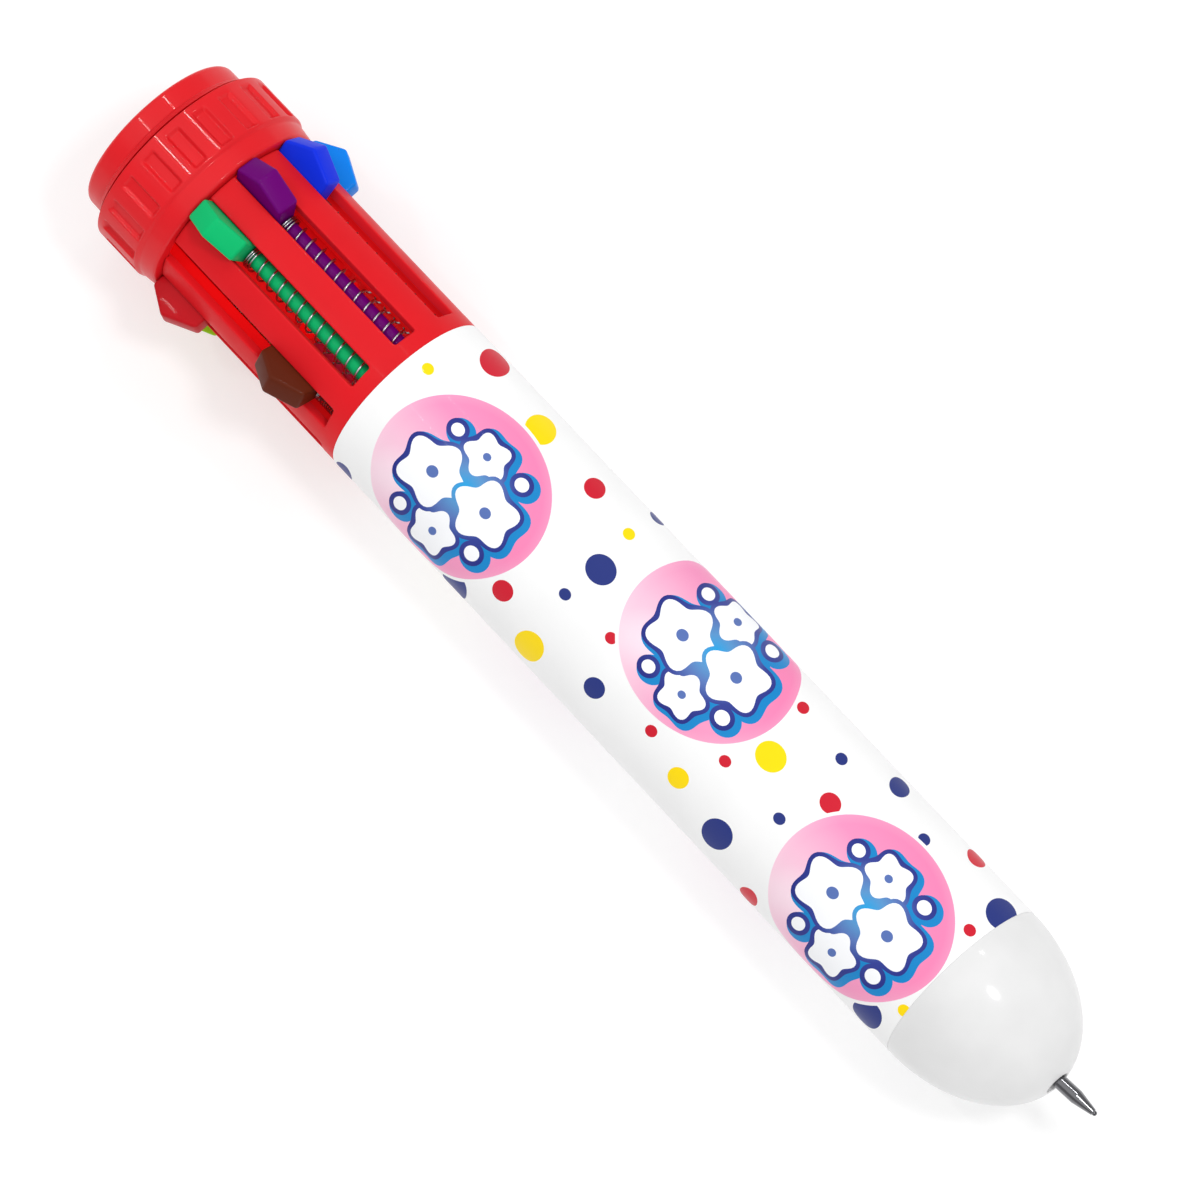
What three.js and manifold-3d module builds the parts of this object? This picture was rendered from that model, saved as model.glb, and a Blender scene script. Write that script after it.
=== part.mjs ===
// A ten-colour slider ballpoint pen, lying along X with its nose towards +X and +Z up.
// Ten sprung sliders ride in slots around the upper housing. Each pushes one refill down the
// barrel, and the refill leans in towards the single hole in the nose as it goes.
// Units are millimetres. Stations are distances along the pen from the flat end of its cap.
import * as THREE from 'three';
import { mergeVertices } from 'three/addons/utils/BufferGeometryUtils.js';
import Module from 'manifold-3d';

const wasm = await Module();
wasm.setup();

// Driving dimensions.
const BARREL_R = 10;
const SLOTS = 10;
const TRAVEL = 15;
const FACETS = 30;

const CAP_FLAT_R = 8.9;
const CAP_EDGE_R = 9.55;
const CAP_TOP_R = 9.8;
const CAP_NECK_R = 9.9;
const CAP_BAND_R = 10.6;
const CAP_RIB_R = 11.5;
const CAP_SKIRT_R = 11.1;
const CAP_BORE_R = 9.35;
const CAP_RIBS = 20;
const CAP_RIB_WIDTH = 1.5;
const CAP_RIB_ROOT_R = 9.95;
const CAP_ROOF = 1.6;
const CAP_BAND = 2.65;
const CAP_RIB_START = 3.3;
const CAP_RIB_END = 9.9;
const CAP_END = 11.9;

const HOUSING_R = 9.95;
const HOUSING_NECK_R = 9.25;
const HOUSING_BORE_R = 8.95;
const HOUSING_SPIGOT_R = 9.15;
const HOUSING_FLANGE_R = 6.1;
const HOUSING_START = 3.4;
const HOUSING_FLANGE_END = 4.8;
const HOUSING_SHOULDER = 12.05;
const HOUSING_END = 39.0;
const HOUSING_SPIGOT_END = 42.0;
const SLOT_WIDTH = 2.8;
const SLOT_START = 11.4;
const SLOT_END = 36.6;
const SLOT_DEPTH = 4;
const FIN_R = 7.3;
const FIN_ROOT_R = 9.05;
const FIN_WIDTH = 0.8;
const FIN_START = 4.6;
const FIN_END = 37.4;

const CORE_R = 5.9;
const CORE_COLLAR_R = 8.8;
const CORE_BORE_R = 4.2;
const CORE_START = 1.9;
const CORE_COLLAR_END = 3.1;
const CORE_BORE_START = 6;
const CORE_END = 26.6;

const SEAT_R = 8.88;
const SEAT_START = 38.3;
const SEAT_END = 39.7;
const SEAT_HOLE_R = 1.12;
const SEAT_CENTRE_HOLE_R = 3;

const RING_R = 7.5;
const BUTTON_START = 12.1;
const BUTTON_APEX = 15.15;
const BUTTON_END = 18.7;
const BUTTON_END_R = 11.15;
const BUTTON_APEX_R = 12.85;
const BUTTON_FOOT_R = 6.2;
const BUTTON_WIDTH = 2.6;
const BUTTON_BEVEL = 0.25;
const STEM_R = 0.92;
const NIPPLE_R = 0.42;
const NIPPLE_LENGTH = 1.2;

const SPRING_MEAN_R = 1.22;
const SPRING_WIRE_R = 0.12;
const SPRING_TURNS = 12.5;
const SPRING_CLEARANCE = 0.1;

const PIVOT = 38;
const PIVOT_GAP = 0.15;
const REST_LEAN_DEG = 2.6;
const AXIS_CROSSING = 132.5;
const TUBE_R = 0.95;
const TUBE_BORE_R = 0.65;
const TUBE_END = 81.3;
const TIP_SHANK_R = 0.5;
const TIP_SHANK_START = 77.5;
const TIP_R = 0.78;
const TIP_BODY_START = 81.5;
const TIP_CONE_START = 86.6;
const TIP_END_R = 0.27;
const TIP_END = 89.39;

const SLEEVE_START = 39.1;
const SLEEVE_END = 122.75;
const SLEEVE_BORE_R = 9.83;
const TUBE_WALL_R = 9.8;
const BARREL_START = 39.3;
const BARREL_MOUTH_R = 9.2;
const BARREL_LEDGE = 42.3;
const BARREL_BORE_R = 8.9;
const BARREL_SHOULDER = 122.7;
const BARREL_SPIGOT_START = 112;
const BARREL_SPIGOT_BORE_R = 8.2;
const BARREL_SPIGOT_R = 9.15;
const BARREL_END = 126.4;

const NOSE_START = 122.95;
const NOSE_LENGTH = 14.3;
const NOSE_SOCKET_R = 9.25;
const NOSE_SOCKET_END = 126.7;
const NOSE_BORE_R = 8.8;
const NOSE_BORE_LENGTH = 13.1;
const NOSE_HOLE_R = 1.35;
const NOSE_STEPS = 9;

// The colours, in the order of their slots from the first one on the -Y side of the top.
const COLOURS = [
  { name: 'green', hex: 0x10bc70 },
  { name: 'purple', hex: 0x6a0070 },
  { name: 'blue', hex: 0x1030d8 },
  { name: 'sky', hex: 0x0a84ec },
  { name: 'black', hex: 0x18181c },
  { name: 'orange', hex: 0xf2701a },
  { name: 'pink', hex: 0xf0559c },
  { name: 'lime', hex: 0x9ad01e },
  { name: 'red', hex: 0xc41a28 },
  { name: 'brown', hex: 0x702a1a, pushed: true },
];
const SLOT_PITCH = (2 * Math.PI) / SLOTS;
const FIRST_SLOT = -SLOT_PITCH / 2;

// A resting refill leans in a little. A pushed one crosses the pen's axis at AXIS_CROSSING.
const REST_LEAN = THREE.MathUtils.degToRad(REST_LEAN_DEG);
const PUSHED_LEAN = Math.atan(RING_R / (AXIS_CROSSING - PIVOT - TRAVEL));

const plastic = (hex, roughness) =>
  new THREE.MeshStandardMaterial({ color: hex, roughness, metalness: 0 });
const metal = (hex, roughness) =>
  new THREE.MeshStandardMaterial({ color: hex, roughness, metalness: 1 });
const redPlastic = plastic(0xe52d37, 0.3);
const whitePlastic = plastic(0xf2f2f2, 0.35);
const nosePlastic = plastic(0xe8e8e8, 0.3);
const printedFilm = plastic(0xffffff, 0.25);
const springSteel = metal(0xc8c8cc, 0.25);
const nickel = metal(0xb4b4b8, 0.2);

// A solid of revolution about the pen's axis, from [station, radius] pairs that start and end
// on the axis.
function turned(profile, facets = FACETS) {
  const points = profile.map(([station, radius]) => new THREE.Vector2(radius, station));
  const geometry = new THREE.LatheGeometry(points, facets);
  geometry.rotateZ(-Math.PI / 2);
  return geometry;
}

// A solid of revolution with an open bore, whose outline closes on itself.
function turnedTube(profile, facets = FACETS) {
  return turned([...profile, profile[0]], facets);
}

// A round bar or a tapered one between two stations, at a height above the axis.
function bar(start, end, radius, height, sides) {
  const geometry = new THREE.CylinderGeometry(radius, radius, end - start, sides);
  geometry.rotateZ(-Math.PI / 2);
  geometry.translate((start + end) / 2, 0, height);
  return geometry;
}

function toManifold(geometry) {
  const bare = geometry.clone();
  bare.deleteAttribute('normal');
  bare.deleteAttribute('uv');
  const merged = mergeVertices(bare, 1e-5);
  const vertProperties = new Float32Array(merged.attributes.position.array);
  const triVerts = new Uint32Array(merged.index.array);
  return new wasm.Manifold(new wasm.Mesh({ numProp: 3, vertProperties, triVerts }));
}

function toGeometry(manifold) {
  const { vertProperties, triVerts } = manifold.getMesh();
  const geometry = new THREE.BufferGeometry();
  geometry.setAttribute('position', new THREE.BufferAttribute(vertProperties, 3));
  geometry.setIndex(new THREE.BufferAttribute(triVerts, 1));
  return geometry;
}

function joined(...geometries) {
  return toGeometry(geometries.map(toManifold).reduce((sum, next) => sum.add(next)));
}

function cut(geometry, tools) {
  const start = toManifold(geometry);
  return toGeometry(tools.map(toManifold).reduce((rest, tool) => rest.subtract(tool), start));
}

// Copies of a geometry turned about the pen's axis, from a first angle on.
function around(geometry, count, first) {
  return Array.from({ length: count }, (_, index) =>
    geometry.clone().rotateX(-(first + (index * 2 * Math.PI) / count)));
}

function capGeometry() {
  const shell = turned([
    [0, 0],
    [0, CAP_FLAT_R],
    [0.3, CAP_EDGE_R],
    [1, CAP_TOP_R],
    [CAP_BAND - 0.2, CAP_NECK_R],
    [CAP_BAND, CAP_BAND_R],
    [CAP_RIB_END - 0.4, CAP_BAND_R],
    [CAP_RIB_END + 0.1, CAP_SKIRT_R],
    [CAP_END, CAP_SKIRT_R],
    [CAP_END, CAP_BORE_R],
    [CAP_ROOF, CAP_BORE_R],
    [CAP_ROOF, 0],
  ]);
  const depth = CAP_RIB_R - CAP_RIB_ROOT_R;
  const rib = new THREE.BoxGeometry(CAP_RIB_END - CAP_RIB_START, CAP_RIB_WIDTH, depth);
  rib.translate((CAP_RIB_START + CAP_RIB_END) / 2, 0, CAP_RIB_ROOT_R + depth / 2);
  return joined(shell, ...around(rib, CAP_RIBS, Math.PI / CAP_RIBS));
}

// The slotted tube, with a guide fin inside between each two sliders.
function housingGeometry() {
  const tube = turnedTube([
    [HOUSING_START, HOUSING_FLANGE_R],
    [HOUSING_START, HOUSING_NECK_R],
    [HOUSING_SHOULDER, HOUSING_NECK_R],
    [HOUSING_SHOULDER, HOUSING_R],
    [HOUSING_END, HOUSING_R],
    [HOUSING_END, HOUSING_SPIGOT_R],
    [HOUSING_SPIGOT_END, HOUSING_SPIGOT_R],
    [HOUSING_SPIGOT_END, HOUSING_BORE_R],
    [HOUSING_FLANGE_END, HOUSING_BORE_R],
    [HOUSING_FLANGE_END, HOUSING_FLANGE_R],
  ]);
  const slot = new THREE.BoxGeometry(SLOT_END - SLOT_START, SLOT_WIDTH, SLOT_DEPTH);
  slot.translate((SLOT_START + SLOT_END) / 2, 0, HOUSING_BORE_R + SLOT_DEPTH / 4);
  const fin = new THREE.BoxGeometry(FIN_END - FIN_START, FIN_WIDTH, FIN_ROOT_R - FIN_R);
  fin.translate((FIN_START + FIN_END) / 2, 0, (FIN_ROOT_R + FIN_R) / 2);
  const finned = joined(tube, ...around(fin, SLOTS, FIRST_SLOT + SLOT_PITCH / 2));
  return cut(finned, around(slot, SLOTS, FIRST_SLOT));
}

function coreGeometry() {
  return turned([
    [CORE_START, 0],
    [CORE_START, CORE_COLLAR_R],
    [CORE_COLLAR_END, CORE_COLLAR_R],
    [CORE_COLLAR_END, CORE_R],
    [CORE_END - 0.5, CORE_R],
    [CORE_END, CORE_R - 0.5],
    [CORE_END, CORE_BORE_R],
    [CORE_BORE_START, CORE_BORE_R],
    [CORE_BORE_START, 0],
  ]);
}

function seatGeometry() {
  const plate = turnedTube([
    [SEAT_START, SEAT_CENTRE_HOLE_R],
    [SEAT_START, SEAT_R],
    [SEAT_END, SEAT_R],
    [SEAT_END, SEAT_CENTRE_HOLE_R],
  ]);
  const hole = bar(SEAT_START - 1, SEAT_END + 1, SEAT_HOLE_R, RING_R, 12);
  return cut(plate, around(hole, SLOTS, FIRST_SLOT));
}

function barrelGeometry() {
  return turnedTube([
    [BARREL_START, BARREL_MOUTH_R],
    [BARREL_START, TUBE_WALL_R],
    [BARREL_SHOULDER, TUBE_WALL_R],
    [BARREL_SHOULDER, BARREL_SPIGOT_R],
    [BARREL_END, BARREL_SPIGOT_R],
    [BARREL_END, BARREL_SPIGOT_BORE_R],
    [BARREL_SPIGOT_START, BARREL_SPIGOT_BORE_R],
    [BARREL_SPIGOT_START, BARREL_BORE_R],
    [BARREL_LEDGE, BARREL_BORE_R],
    [BARREL_LEDGE, BARREL_MOUTH_R],
  ]);
}

function sleeveGeometry() {
  return turnedTube([
    [SLEEVE_START, SLEEVE_BORE_R],
    [SLEEVE_START, BARREL_R],
    [SLEEVE_END, BARREL_R],
    [SLEEVE_END, SLEEVE_BORE_R],
  ]);
}

// Points on a quarter ellipse that narrows from one radius to another, along the nose.
function domeArc(length, baseRadius, fromRadius, toRadius) {
  const from = Math.acos(fromRadius / baseRadius);
  const to = Math.acos(toRadius / baseRadius);
  return Array.from({ length: NOSE_STEPS + 1 }, (_, index) => {
    const angle = from + ((to - from) * index) / NOSE_STEPS;
    return [NOSE_START + length * Math.sin(angle), baseRadius * Math.cos(angle)];
  });
}

function noseGeometry() {
  const socketReach = (NOSE_SOCKET_END - NOSE_START) / NOSE_BORE_LENGTH;
  const socketFloorR = NOSE_BORE_R * Math.sqrt(1 - socketReach ** 2);
  const outside = domeArc(NOSE_LENGTH, BARREL_R, BARREL_R, NOSE_HOLE_R);
  const inside = domeArc(NOSE_BORE_LENGTH, NOSE_BORE_R, socketFloorR, NOSE_HOLE_R);
  return turnedTube([
    ...outside,
    ...inside.reverse(),
    [NOSE_SOCKET_END, NOSE_SOCKET_R],
    [NOSE_START, NOSE_SOCKET_R],
  ]);
}

// One slider: a peaked button, a foot under the slot, and a stem with a nipple for the refill.
function sliderGeometry() {
  const side = new THREE.Shape([
    new THREE.Vector2(BUTTON_START + BUTTON_BEVEL, BUTTON_FOOT_R + BUTTON_BEVEL),
    new THREE.Vector2(BUTTON_END - BUTTON_BEVEL, BUTTON_FOOT_R + BUTTON_BEVEL),
    new THREE.Vector2(BUTTON_END - BUTTON_BEVEL, BUTTON_END_R - BUTTON_BEVEL),
    new THREE.Vector2(BUTTON_APEX, BUTTON_APEX_R - BUTTON_BEVEL),
    new THREE.Vector2(BUTTON_START + BUTTON_BEVEL, BUTTON_END_R - BUTTON_BEVEL),
  ]);
  const button = new THREE.ExtrudeGeometry(side, {
    depth: BUTTON_WIDTH - 2 * BUTTON_BEVEL,
    bevelEnabled: true,
    bevelSegments: 1,
    bevelSize: BUTTON_BEVEL,
    bevelThickness: BUTTON_BEVEL,
  });
  button.translate(0, 0, -BUTTON_WIDTH / 2 + BUTTON_BEVEL);
  button.rotateX(Math.PI / 2);
  const stem = bar(BUTTON_END - 1, PIVOT - PIVOT_GAP, STEM_R, RING_R, 8);
  const nipple = bar(PIVOT - 1, PIVOT + NIPPLE_LENGTH, NIPPLE_R, RING_R, 6);
  return joined(button, stem, nipple);
}

// The centre line of a coil spring around a stem, between two stations.
class CoilPath extends THREE.Curve {
  constructor(start, end) {
    super();
    this.start = start;
    this.end = end;
    this.arcLengthDivisions = 24 * SPRING_TURNS;
  }

  getPoint(t, target = new THREE.Vector3()) {
    const angle = 2 * Math.PI * SPRING_TURNS * t;
    const station = this.start + (this.end - this.start) * t;
    return target.set(station, SPRING_MEAN_R * Math.sin(angle), SPRING_MEAN_R * Math.cos(angle));
  }
}

function springGeometry(start, end) {
  const wire = new THREE.Shape();
  const corners = 3;
  for (let corner = 0; corner < corners; corner += 1) {
    const angle = (2 * Math.PI * corner) / corners;
    const x = SPRING_WIRE_R * Math.cos(angle);
    const y = SPRING_WIRE_R * Math.sin(angle);
    if (corner === 0) wire.moveTo(x, y);
    else wire.lineTo(x, y);
  }
  const margin = SPRING_WIRE_R + SPRING_CLEARANCE;
  const extrudePath = new CoilPath(start + margin, end - margin);
  const geometry = new THREE.ExtrudeGeometry(wire, { steps: 6 * SPRING_TURNS, extrudePath });
  geometry.translate(0, 0, RING_R);
  return geometry;
}

// A refill's tube and its metal tip, along +X from the pivot where the refill leans.
function tubeGeometry() {
  return turnedTube([
    [PIVOT_GAP, TUBE_BORE_R],
    [PIVOT_GAP, TUBE_R],
    [TUBE_END, TUBE_R],
    [TUBE_END, TUBE_BORE_R],
  ], 8);
}

function tipGeometry() {
  return turned([
    [TIP_SHANK_START, 0],
    [TIP_SHANK_START, TIP_SHANK_R],
    [TIP_BODY_START, TIP_SHANK_R],
    [TIP_BODY_START, TIP_R],
    [TIP_CONE_START, TIP_R],
    [TIP_END - 0.15, TIP_END_R],
    [TIP_END, 0],
  ], 10);
}

const pen = new THREE.Group();

function place(name, geometry, material, parent = pen) {
  const mesh = new THREE.Mesh(geometry, material);
  mesh.name = name;
  parent.add(mesh);
  return mesh;
}

place('cap', capGeometry(), redPlastic);
place('latch_core', coreGeometry(), redPlastic);
place('upper_housing', housingGeometry(), redPlastic);
place('spring_seat', seatGeometry(), whitePlastic);
place('barrel', barrelGeometry(), whitePlastic);
place('printed_sleeve', sleeveGeometry(), printedFilm);
place('nose_cone', noseGeometry(), nosePlastic);

const slider = sliderGeometry();
const refillTube = tubeGeometry();
const refillTip = tipGeometry();
COLOURS.forEach(({ name, hex, pushed = false }, index) => {
  const shift = pushed ? TRAVEL : 0;
  const station = new THREE.Group();
  station.rotation.x = -(FIRST_SLOT + index * SLOT_PITCH);
  pen.add(station);

  const colour = plastic(hex, 0.3);
  place(`slider_${name}`, slider, colour, station).position.x = shift;
  place(`spring_${name}`, springGeometry(BUTTON_END + shift, SEAT_START), springSteel, station);

  const refill = new THREE.Group();
  refill.position.set(PIVOT + shift, 0, RING_R);
  refill.rotation.y = pushed ? PUSHED_LEAN : REST_LEAN;
  station.add(refill);
  place(`refill_tube_${name}`, refillTube, colour, refill);
  place(`refill_tip_${name}`, refillTip, nickel, refill);
});

// The origin is under the middle of the pen, on the surface that it lies on.
const extent = new THREE.Box3().setFromObject(pen, true);
const middle = extent.getCenter(new THREE.Vector3());
pen.position.set(-middle.x, -middle.y, -extent.min.z);

export default pen;
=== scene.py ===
"""A ten-colour slider pen: fine surfaces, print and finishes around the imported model.

Shapes are written in pen coordinates: millimetres, with x the station along the pen from the flat
end of its cap, and y and z measured from the pen's axis.
"""

from math import acos, atan, cos, pi, radians, sin, sqrt, tan

import bmesh
import bpy
import numpy as np
from mathutils import Matrix, Vector
from mathutils.geometry import delaunay_2d_cdt

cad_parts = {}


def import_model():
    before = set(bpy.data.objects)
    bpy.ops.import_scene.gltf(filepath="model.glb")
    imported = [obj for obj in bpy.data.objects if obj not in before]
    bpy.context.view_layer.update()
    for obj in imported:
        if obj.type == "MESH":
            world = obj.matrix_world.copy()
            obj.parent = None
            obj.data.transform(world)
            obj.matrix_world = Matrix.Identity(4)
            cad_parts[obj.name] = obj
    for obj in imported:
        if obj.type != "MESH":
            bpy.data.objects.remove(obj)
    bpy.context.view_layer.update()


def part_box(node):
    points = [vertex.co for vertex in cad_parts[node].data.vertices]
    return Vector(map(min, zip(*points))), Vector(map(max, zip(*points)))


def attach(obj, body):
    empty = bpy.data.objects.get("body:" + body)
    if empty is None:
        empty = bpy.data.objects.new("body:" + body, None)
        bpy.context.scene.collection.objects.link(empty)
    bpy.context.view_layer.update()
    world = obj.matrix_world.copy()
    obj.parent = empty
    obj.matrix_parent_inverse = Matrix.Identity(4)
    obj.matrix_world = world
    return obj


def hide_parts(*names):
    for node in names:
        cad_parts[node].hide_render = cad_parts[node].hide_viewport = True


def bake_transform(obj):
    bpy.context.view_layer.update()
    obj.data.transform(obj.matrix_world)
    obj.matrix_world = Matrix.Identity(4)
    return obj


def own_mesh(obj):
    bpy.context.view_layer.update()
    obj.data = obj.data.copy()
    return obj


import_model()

MM = 0.001
CAP_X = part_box("cap")[0].x
AXIS_Z = (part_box("barrel")[0].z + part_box("barrel")[1].z) / 2

# The colours in slot order. The brown slider is the one pushed down.
COLOURS = {
    "green": "0cba6e", "purple": "680070", "blue": "1030dc", "sky": "0a84ec", "black": "18181c",
    "orange": "f2701a", "pink": "f0559c", "lime": "9ad01e", "red": "b8141e", "brown": "5e2412",
}
PUSHED = "brown"
SLOT_PITCH_DEG = 36
FIRST_SLOT_DEG = -18
RING_R = 7.5
TRAVEL = 15

CAP_END = 12.0
CAP_BORE_R = 9.35
CAP_ROOF = 1.6
CAP_NECK_R = 9.9
CAP_COLLAR_R = 10.4
CAP_GROOVE_R = 11.0
CAP_CREST_R = 11.42
CAP_SKIRT_R = 11.08
CAP_SKIRT_END_R = 10.85
CAP_RIBS = 20

HOUSING_R = 9.95
HOUSING_NECK_R = 9.25
HOUSING_BORE_R = 8.95
SHOULDER = 12.05
SLOT_START, SLOT_END = 11.4, 36.85
SLOT_HALF_WIDTH = 1.4
SLOT_CORNER_R = 0.3
SLOT_EDGE_R = 0.16

BUTTON_START, BUTTON_APEX, BUTTON_END = 12.1, 15.15, 18.7
BUTTON_FOOT_R, BUTTON_END_R, BUTTON_APEX_R = 6.2, 11.15, 12.85
BUTTON_WIDTH = 2.6
BUTTON_BEVEL = 0.32
STEM_R = 0.92
PIVOT = 38
PIVOT_GAP = 0.15

SEAT_START, SEAT_END = 38.3, 39.7
HOLE_R = 1.12
SPRING_R = 1.29
WIRE_R = 0.12

REST_LEAN = radians(2.6)
PUSHED_LEAN = atan(RING_R / (132.5 - PIVOT - TRAVEL))

HOUSING_END = 38.75
SLEEVE_START, SLEEVE_END = 38.78, 122.85
SLEEVE_R, SLEEVE_BORE_R = 10, 9.83
NOSE_START, NOSE_LENGTH = 122.86, 14.35
NOSE_BORE_LENGTH, NOSE_BORE_R = 13.1, 8.8
NOSE_HOLE_R = 1.35
SOCKET_END, SOCKET_R = 126.7, 9.25


# ---- shapes


def world(points):
    """Pen coordinates in millimetres to frame coordinates in metres."""
    return np.asarray(points, float) * MM + np.array([CAP_X, 0, AXIS_Z])


def turn(points, degrees):
    """Points turned about the pen's axis, from +Z towards +Y."""
    x, y, z = np.asarray(points, float).T
    c, s = cos(radians(degrees)), sin(radians(degrees))
    return np.stack([x, y * c + z * s, z * c - y * s], axis=1)


def add_object(name, data):
    """An object in the scene."""
    thing = bpy.data.objects.new(name, data)
    bpy.context.scene.collection.objects.link(thing)
    return thing


def shaded(mesh, sharp_deg=40):
    mesh.shade_smooth()
    mesh.set_sharp_from_angle(angle=radians(sharp_deg))


def tube_faces(rows, count):
    """The quads between closed rings of vertices, count to a ring."""
    return [[row * count + i, row * count + (i + 1) % count,
             (row + 1) * count + (i + 1) % count, (row + 1) * count + i]
            for row in range(rows - 1) for i in range(count)]


def make_piece(name, vertices, faces, materials, sharp_deg=40):
    """A smooth-shaded mesh object from vertices in pen coordinates, with its faces turned outwards."""
    mesh = bpy.data.meshes.new(name)
    mesh.from_pydata(world(vertices).tolist(), [], [list(map(int, face)) for face in faces])
    work = bmesh.new()
    work.from_mesh(mesh)
    bmesh.ops.remove_doubles(work, verts=work.verts, dist=2e-7)
    bmesh.ops.recalc_face_normals(work, faces=work.faces)
    work.to_mesh(mesh)
    work.free()
    for material in materials:
        mesh.materials.append(material)
    shaded(mesh, sharp_deg)
    return add_object(name, mesh)


def rounded(corners, steps=6):
    """A polyline of (station, radius) through corners (station, radius, fillet)."""
    line = []
    for index, (x, r, fillet) in enumerate(corners):
        corner = np.array([x, r], float)
        if not fillet:
            line.append(corner)
            continue
        back = np.array(corners[index - 1][:2], float) - corner
        ahead = np.array(corners[(index + 1) % len(corners)][:2], float) - corner
        back /= np.linalg.norm(back)
        ahead /= np.linalg.norm(ahead)
        half = acos(np.clip(back @ ahead, -1, 1)) / 2
        middle = (back + ahead) / np.linalg.norm(back + ahead)
        centre = corner + middle * fillet / sin(half)
        first = corner + back * fillet / tan(half) - centre
        last = corner + ahead * fillet / tan(half) - centre
        sweep = pi - 2 * half
        for step in range(steps + 1):
            share = step / steps
            blend = (sin((1 - share) * sweep) * first + sin(share * sweep) * last)
            line.append(centre + blend / sin(sweep))
    return line


def supported(line):
    """The line with a point close to each end of its long spans, so that they shade as straight."""
    held = [line[0]]
    for start, end in zip(line, line[1:]):
        start, end = np.array(start, float), np.array(end, float)
        length = np.linalg.norm(end - start)
        if length > 0.5:
            step = (end - start) / length * 0.08
            held += [start + step, end - step]
        held.append(end)
    return held


def lathe(line, segments=192, closed=False, relief=None, angles=None):
    """Vertices and faces of a solid of revolution. closed joins the line's ends, as in a tube, and
    relief(station, radius, angles) shapes a ring."""
    line = supported(line)
    if angles is None:
        angles = np.arange(segments) * 2 * pi / segments
    vertices, rings = [], []
    for station, radius in line:
        if radius < 1e-6:
            rings.append([len(vertices)] * len(angles))
            vertices.append((station, 0, 0))
            continue
        radii = np.full(len(angles), radius) if relief is None else relief(station, radius, angles)
        rings.append(range(len(vertices), len(vertices) + len(angles)))
        vertices += zip(np.full(len(angles), station), radii * np.sin(angles), radii * np.cos(angles))
    pairs = list(zip(rings, rings[1:])) + ([(rings[-1], rings[0])] if closed else [])
    faces = []
    for near, far in pairs:
        for i in range(len(angles)):
            j = (i + 1) % len(angles)
            face = list(dict.fromkeys([near[i], near[j], far[j], far[i]]))
            if len(face) > 2:
                faces.append(face)
    return vertices, faces


def turned(name, corners, material, closed=False):
    """A piece turned about the pen's axis."""
    vertices, faces = lathe(rounded(corners), closed=closed)
    return make_piece(name, vertices, faces, [material])


def combine(piece, tools, operation):
    """Joins tools to a piece, or cuts them out of it, and deletes the tools."""
    for tool in tools:
        modifier = piece.modifiers.new("cut", "BOOLEAN")
        modifier.object = tool
        modifier.operation = operation
        modifier.solver = "MANIFOLD"
        modifier.material_mode = "TRANSFER"
    graph = bpy.context.evaluated_depsgraph_get()
    mesh = bpy.data.meshes.new_from_object(piece.evaluated_get(graph))
    piece.modifiers.clear()
    piece.data = mesh
    shaded(mesh)
    for tool in tools:
        bpy.data.objects.remove(tool)
    return piece


def block(name, low, high, degrees, material, bevel):
    """A box between two corners in pen coordinates, turned about the axis, with bevelled edges."""
    work = bmesh.new()
    bmesh.ops.create_cube(work, size=1)
    for vertex in work.verts:
        vertex.co = Vector((np.array(low) + np.array(high)) / 2) + Vector(
            vertex.co[i] * (high[i] - low[i]) for i in range(3))
    bmesh.ops.bevel(work, geom=work.edges[:], offset=bevel, segments=3, profile=0.5,
                    affect="EDGES")
    return from_bmesh(name, work, degrees, [material])


def from_bmesh(name, work, degrees, materials):
    """A piece from a bmesh in pen coordinates, turned about the axis."""
    work.verts.index_update()
    vertices = turn([vertex.co[:] for vertex in work.verts], degrees)
    faces = [[vertex.index for vertex in face.verts] for face in work.faces]
    work.free()
    return make_piece(name, vertices, faces, materials)


# ---- finishes


def linear(hex_colour):
    """An sRGB hex colour as linear RGBA."""
    values = [int(hex_colour[i:i + 2], 16) / 255 for i in (0, 2, 4)]
    return [v / 12.92 if v <= 0.04045 else ((v + 0.055) / 1.055) ** 2.4 for v in values] + [1.0]


def new_material(name):
    material = bpy.data.materials.new(name)
    material.use_nodes = True
    tree = material.node_tree
    return material, tree, tree.nodes["Principled BSDF"]


def noise(tree, scale, detail=3.0):
    """Noise in the frame's own coordinates, so that it is fixed to the piece."""
    coordinates = tree.nodes.new("ShaderNodeTexCoord")
    node = tree.nodes.new("ShaderNodeTexNoise")
    node.inputs["Scale"].default_value = scale
    node.inputs["Detail"].default_value = detail
    tree.links.new(coordinates.outputs["Object"], node.inputs["Vector"])
    return node.outputs["Fac"]


def spread(tree, value, low, high):
    """A noise value mapped from its usual span to a range."""
    node = tree.nodes.new("ShaderNodeMapRange")
    node.inputs["From Min"].default_value = 0.3
    node.inputs["From Max"].default_value = 0.7
    node.inputs["To Min"].default_value = low
    node.inputs["To Max"].default_value = high
    tree.links.new(value, node.inputs["Value"])
    return node.outputs["Result"]


def surface(tree, shader, roughness, ripple, ripple_scale=700):
    """Uneven gloss and the slight ripple of a moulded or printed surface."""
    vary = spread(tree, noise(tree, 260), roughness * 0.85, roughness * 1.15)
    tree.links.new(vary, shader.inputs["Roughness"])
    bump = tree.nodes.new("ShaderNodeBump")
    bump.inputs["Strength"].default_value = ripple
    bump.inputs["Distance"].default_value = 0.00002
    tree.links.new(noise(tree, ripple_scale, 2.0), bump.inputs["Height"])
    tree.links.new(bump.outputs["Normal"], shader.inputs["Normal"])


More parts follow.
